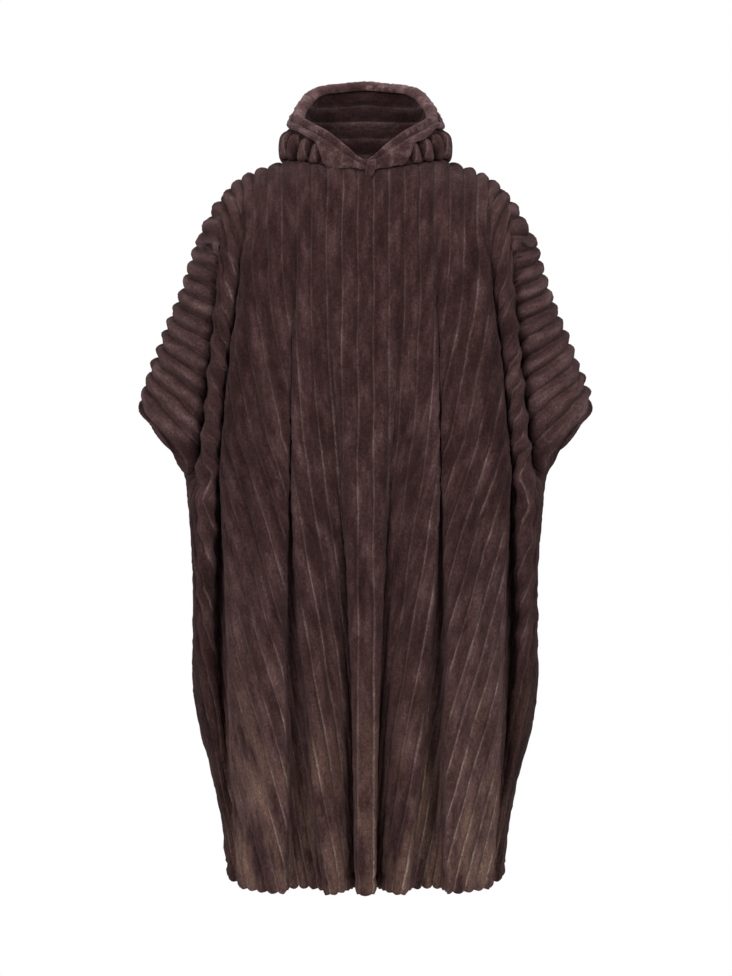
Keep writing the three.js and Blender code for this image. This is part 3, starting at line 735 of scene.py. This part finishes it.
def tabStrip():  # rounded oblong sections along the tab's path
    path = splineWeights(len(tabPath), 3) @ tabPath
    angle = 2 * np.pi * np.arange(20) / 20
    oblong = np.stack([np.cos(angle), np.sin(angle)], 1)
    oblong = np.sign(oblong) * np.abs(oblong) ** 0.8
    sideways, outwards = np.array([0.99, 0.0, 0.14]), np.array([0.0, -1.0, 0.0])
    return (path[:, None, :3] + sideways * (oblong[:, 0] * path[:, 3:4] / 2)[..., None]
            + outwards * (oblong[:, 1] * path[:, 4:5] / 2)[..., None])


# A strip folded over the face edge of the hood: its section is carried round the hood's own surface. It
# starts under the front crossing and ends over it in a tab.
def buildBand(grid, normal, fromRim, seed):
    rows, count = grid.shape[:2]
    height = fromRim[0]
    around = np.arange(count)
    turned = np.minimum(around, count - around) * 360 / count
    frontness = np.maximum(0, np.cos(2 * np.pi * around / count))
    # the lesser of the wanted width and the room there is, with a rounded corner where they cross
    wanted = mix(bandCut["side"], bandCut["front"], smooth(0.80, 0.93, frontness))
    room = height * mix(0.62, 1.02, smooth(0.45, 0.8, frontness))
    corner = bandCut["corner"]
    width = -corner * np.log(np.exp(-wanted / corner) + np.exp(-room / corner))
    width = width * (1 + bandCut["uneven"] * softNoise(seed + 3, around / 23))
    # where each point of the section lies on the hood, and how far past its edges
    share, below, out = bandSection.T
    left = share[:, None] * width + below[:, None] * np.minimum(1, height / 30)
    place = np.empty_like(left)
    for j in range(count):
        place[:, j] = np.interp(left[:, j], fromRim[::-1, j], np.arange(rows)[::-1].astype(float))
    over = np.where(left < 0, left, 0) + np.where(left > height, left - height, 0)
    low = np.clip(place.astype(int), 0, rows - 2)
    t = (place - low)[..., None]
    k = around[None, :]
    onWall = mix(grid[low, k], grid[low + 1, k], t)
    facing = mix(normal[low, k], normal[low + 1, k], t)
    facing /= np.linalg.norm(facing, axis=2, keepdims=True)
    down = grid[:-1] - grid[1:]
    down /= np.linalg.norm(down, axis=2, keepdims=True)
    lift = bandCut["frontLift"] * smooth(0.55, 0.95, frontness)[None, :] * smooth(0.4, 1, share)[:, None]
    clear = np.interp(turned, hoodLumps[:, 0], bandCut["overLumps"] * hoodLumps[:, 1])
    clear = clear[None, :] * smooth(0.3, 1, share)[:, None]
    ripple = bandCut["ripple"] * softNoise(seed, left / 16, k / 9)
    ripple = (ripple + bandCut["fineRipple"] * softNoise(seed + 5, left / 4, k * 0.7)) * (out[:, None] > 2)
    standing = out[:, None] + lift + clear + ripple
    ring = onWall + down[low, k] * over[..., None] + facing * standing[..., None]
    ring = np.transpose(ring, (1, 0, 2))
    # once round and a little past the centre front at both ends, the later one on top
    past = round(count * bandCut["cross"] / 360)
    order = np.arange(-past, count + past + 1)
    strip = ring[order % count].copy()
    turn = order / count * 360
    strip[:, :, 1] -= bandCut["onTop"] * (1 - smooth(0, 26, turn))[:, None]
    strip[:, :, 2] -= bandCut["dip"] * bell((turn + 180) % 360 - 180, 0, 9)[:, None]
    for k, size in enumerate(bandCut["ends"]):  # both ends are rounded off
        for row in (k, -1 - k):
            centre = strip[row].mean(axis=0)
            strip[row] = centre + (strip[row] - centre) * size
    tab = tabStrip()
    # the strip is two layers thick nearly everywhere: half the way round its section is its width
    length = np.linalg.norm(np.diff(strip, axis=0), axis=2).sum(axis=0).max()
    tabLength = np.linalg.norm(np.diff(tab[:, 0], axis=0), axis=1).sum()
    outline = np.concatenate([strip, strip[:, :1]], axis=1)
    girth = np.linalg.norm(np.diff(outline, axis=1), axis=2).sum(axis=1)
    flat = (float(length + tabLength) * mm, float(girth.max() / 2) * mm)
    area = float((0.5 * girth).mean() * length + tabLength * bandCut["tabWidth"]) * mm * mm
    print("bandCloth", strip.shape[:2], tab.shape[:2], "flat", flat, "area", round(area, 4))
    return tubesMesh("bandCloth", [strip, tab]), flat, area


# Closed tubes, one for each strip of rows, in one mesh.
def tubesMesh(name, strips):
    verts, faces, first = [], [], 0
    for strip in strips:
        n, sides = strip.shape[:2]
        ids = first + np.arange(n * sides).reshape(n, sides)
        ids = np.concatenate([ids, ids[:, :1]], axis=1)
        quads = np.stack([ids[:-1, :-1], ids[1:, :-1], ids[1:, 1:], ids[:-1, 1:]], -1).reshape(-1, 4)
        faces += quads.tolist() + [ids[0, :-1].tolist(), ids[-1, -2::-1].tolist()]
        verts.append(strip.reshape(-1, 3))
        first += n * sides
    mesh = bpy.data.meshes.new(name)
    mesh.from_pydata((np.concatenate(verts) * mm).tolist(), [], faces)
    mesh.update()
    bm = bmesh.new()
    bm.from_mesh(mesh)
    bmesh.ops.recalc_face_normals(bm, faces=bm.faces)
    bm.to_mesh(mesh)
    bm.free()
    mesh.polygons.foreach_set("use_smooth", np.ones(len(mesh.polygons), bool))
    return inScene(name, mesh)


plushLook = {
    "deep": (0.0044, 0.0017, 0.0017),
    "mid": (0.0118, 0.0053, 0.0052),
    "pale": (0.0290, 0.0155, 0.0150),
    "warm": (0.0500, 0.0270, 0.0205),
    "ribPitch": cloth["ribPitch"],
    "sheen": 0.03,
    "sheenTint": (0.9, 0.6, 0.6, 1),
    "roughness": 0.95,
    "sheenRoughness": 0.4,
    "specular": 0.02,
    "bumpStrength": 0.8,
    "bumpDistance": 0.007,
    # painted sheen and shade across a rib: how much paler and greyer, or darker, the colour is made, where
    # the groove is at 0.5
    "paintedGroove": [(0.0, 1), (0.34, 0.94), (0.44, (0.84, 0.82, 0.82)), (0.47, (1.1, 1.2, 1.2)),
               (0.505, (2.5, 3.3, 3.2)), (0.545, (2.4, 3.1, 3.0)), (0.60, (1.25, 1.3, 1.3)),
               (0.72, 1), (1.0, 1)],
    "warmZ": (-0.74, -1.12), "warmShare": 0.75,
    "lineZ": (-0.25, -0.80), "lineShare": (0.62, 1.0),
}
# The band is a lighter copy of the plush, paler and with more sheen: painted light for the rim, which catches
# the light.
bandLitLook = dict(
    plushLook,
    deep=(0.0060, 0.0026, 0.0026),
    mid=(0.0165, 0.0078, 0.0077),
    pale=(0.075, 0.0480, 0.0480),
    ribPitch=None,
    sheen=0.08,
    sheenTint=(1.0, 0.66, 0.68, 1),
    paintedLightZ=(0.05, 0.13), paintedLightShare=1.5,
)


def plush(name, look):
    material = bpy.data.materials.new(name)
    material.use_nodes = True
    tree = material.node_tree
    node = tree.nodes.new
    link = tree.links.new
    shader = tree.nodes["Principled BSDF"]
    coords = node("ShaderNodeTexCoord")
    objectPlace = coords.outputs["Object"]
    ribPitch = look["ribPitch"]
    along = coords.outputs["UV"] if ribPitch else objectPlace

    def feed(value, socket):
        if hasattr(value, "is_linked"):
            link(value, socket)
        else:
            socket.default_value = value

    def noise(source, scale, detail, rough, shift=0.0):
        mapping = node("ShaderNodeMapping")
        mapping.inputs["Scale"].default_value = scale
        mapping.inputs["Location"].default_value = (shift, shift, shift)
        link(source, mapping.inputs["Vector"])
        n = node("ShaderNodeTexNoise")
        n.inputs["Scale"].default_value = 1
        n.inputs["Detail"].default_value = detail
        n.inputs["Roughness"].default_value = rough
        link(mapping.outputs["Vector"], n.inputs["Vector"])
        return n.outputs["Fac"]

    def ramp(source, stops):  # a stop has a place and a colour, or one number for a grey
        stops = [(at, (*c, 1) if isinstance(c, tuple) else (c, c, c, 1)) for at, c in stops]
        r = node("ShaderNodeValToRGB")
        first, last = r.color_ramp.elements[0], r.color_ramp.elements[1]
        first.position, first.color = stops[0]
        last.position, last.color = stops[-1]
        for at, colour in stops[1:-1]:
            r.color_ramp.elements.new(at).color = colour
        link(source, r.inputs["Fac"])
        return r.outputs["Color"]

    def calculate(kind, a, b):
        x = node("ShaderNodeMath")
        x.operation = kind
        feed(a, x.inputs[0])
        feed(b, x.inputs[1])
        return x.outputs[0]

    def layer(a, b, factor, kind="MIX"):
        x = node("ShaderNodeMix")
        x.data_type, x.blend_type = "RGBA", kind
        feed(factor, x.inputs[0])
        feed(a, x.inputs[6])
        feed(b, x.inputs[7])
        return x.outputs[2]

    def axisOf(source, axis):
        x = node("ShaderNodeSeparateXYZ")
        link(source, x.inputs[0])
        return x.outputs[axis]

    def spread(source, start, end, low, high):
        x = node("ShaderNodeMapRange")
        for socket, value in (("From Min", start), ("From Max", end), ("To Min", low), ("To Max", high)):
            x.inputs[socket].default_value = value
        link(source, x.inputs["Value"])
        return x.outputs["Result"]

    z = axisOf(objectPlace, "Z")
    patches = noise(along, (46, 13, 13) if ribPitch else (30, 30, 30), 6.0, 0.66)
    colour = ramp(patches, [(0.28, look["deep"]), (0.50, look["mid"]), (0.76, look["pale"])])
    if ribPitch:
        # near the hem the brushed pile is lighter and warmer in patches
        low = spread(z, *look["warmZ"], 0.0, look["warmShare"])
        warmPatch = ramp(noise(along, (26, 9, 9), 5.0, 0.66, 3.7), [(0.42, 0), (0.66, 1)])
        colour = layer(colour, (*look["warm"], 1), calculate("MULTIPLY", low, warmPatch))
        # each groove gets a painted sheen line, pale and greyer, with painted shade a little darker beside it
        phase = calculate("FRACT", calculate("DIVIDE", axisOf(coords.outputs["UV"], "X"), ribPitch * mm), 0.0)
        paintedGrooveLine = ramp(phase, look["paintedGroove"])
        # the lines are faint on the chest and clearer down the folds, here and there
        clearer = spread(z, *look["lineZ"], *look["lineShare"])
        broken = ramp(noise(along, (30, 7, 7), 3.0, 0.6, 8.3), [(0.34, 0.45), (0.58, 1)])
        colour = layer(colour, paintedGrooveLine, calculate("MULTIPLY", clearer, broken), "MULTIPLY")
    fibres = noise(objectPlace, (460, 460, 260), 5.0, 0.72)
    speckle = ramp(fibres, [(0.30, 0.50), (0.52, 1), (0.76, (2.1, 2.15, 2.15))])
    colour = layer(colour, speckle, 1.0, "MULTIPLY")
    if ribPitch:
        # painted light and shade from the mesh's colour: lighter on the crests of the folds and darker down
        # in the pleats
        paintedShading = node("ShaderNodeAttribute")
        paintedShading.attribute_name = "paintedShading"
        colour = layer(colour, paintedShading.outputs["Color"], 1.0, "MULTIPLY")
    else:
        # painted light: the colour is made lighter along the far, high part of the band, where the rim
        # catches light from above
        colour = layer(colour, spread(z, *look["paintedLightZ"], 1.0, look["paintedLightShare"]), 1.0, "MULTIPLY")
    link(colour, shader.inputs["Base Color"])
    shader.inputs["Roughness"].default_value = look["roughness"]
    shader.inputs["Specular IOR Level"].default_value = look["specular"]
    shader.inputs["Sheen Weight"].default_value = look["sheen"]
    shader.inputs["Sheen Roughness"].default_value = look["sheenRoughness"]
    shader.inputs["Sheen Tint"].default_value = look["sheenTint"]
    bump = node("ShaderNodeBump")
    bump.inputs["Strength"].default_value = look["bumpStrength"]
    bump.inputs["Distance"].default_value = look["bumpDistance"]
    link(noise(objectPlace, (120, 120, 80), 6.0, 0.74), bump.inputs["Height"])
    link(bump.outputs["Normal"], shader.inputs["Normal"])
    return material


print("panels")
front, frontArea, frontLength = buildPanel("frontCloth", frontFolds, -1, frontCreases, 3)
back, backArea, backLength = buildPanel("backCloth", backFolds, 1, backCreases, 5)
print("hood")
hood, hoodFlat, hoodArea, hoodSurface = buildHood()
print("hood band")
band, bandFlat, bandArea = buildBand(*hoodSurface, 9)

print("plush")
ribbed = plush("plush", plushLook)
litBandPlush = plush("plushBandLit", bandLitLook)
for piece, node, slotName, material in (
    (front, "front_panel", "plush", ribbed), (back, "back_panel", "plush", ribbed),
    (hood, "hood", "plush", ribbed), (band, "hood_band", "plush_band", litBandPlush),
):
    piece.data.materials.append(material)
    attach(piece, "root")
    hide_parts(node)

print("studio")
studio = {
    "floorZ": -1.5, "floorX": (-1.4, 1.4), "floorY": (-2.2, 0.6), "paper": (0.82, 0.82, 0.82, 1),
    "camera": (0.0008, -3.4, -0.5166), "lens": 78.4, "sensor": 36,
    # name, place, aim, size and power of each light
    "lights": [("left", (-1.5, -2.9, 0.5), (0, 0, -0.6), 1.1, 175),
               ("right", (1.5, -2.9, 0.5), (0, 0, -0.6), 1.1, 150),
               ("above", (0, -1.3, 1.9), (0, 0, -0.2), 1.0, 60)],
}
(west, east), (near, far) = studio["floorX"], studio["floorY"]
corners = [(x, y, studio["floorZ"]) for x, y in ((west, near), (east, near), (east, far), (west, far))]
floorMesh = bpy.data.meshes.new("floor")
floorMesh.from_pydata(corners, [], [(0, 1, 2, 3)])
paper = bpy.data.materials.new("paper")
paper.use_nodes = True
paper.node_tree.nodes["Principled BSDF"].inputs["Base Color"].default_value = studio["paper"]
paper.node_tree.nodes["Principled BSDF"].inputs["Roughness"].default_value = 0.9
floorMesh.materials.append(paper)
inScene("floor", floorMesh)

world = bpy.data.worlds.new("studio")
world.use_nodes = True
world.node_tree.nodes["Background"].inputs["Color"].default_value = (1, 1, 1, 1)
world.node_tree.nodes["Background"].inputs["Strength"].default_value = 1.0
bpy.context.scene.world = world
bpy.context.scene.view_settings.view_transform = "Standard"

for name, place, aim, size, power in studio["lights"]:
    lamp = bpy.data.lights.new(name, "AREA")
    lamp.size = size
    lamp.energy = power
    light = inScene(name, lamp)
    light.location = place
    light.rotation_euler = (Vector(aim) - Vector(place)).to_track_quat("-Z", "Y").to_euler()

lens = bpy.data.cameras.new("camera")
lens.lens = studio["lens"]
lens.sensor_fit = "VERTICAL"
lens.sensor_height = studio["sensor"]
camera = inScene("camera", lens)
camera.location = studio["camera"]
camera.rotation_euler = (math.pi / 2, 0, 0)
bpy.context.scene.camera = camera
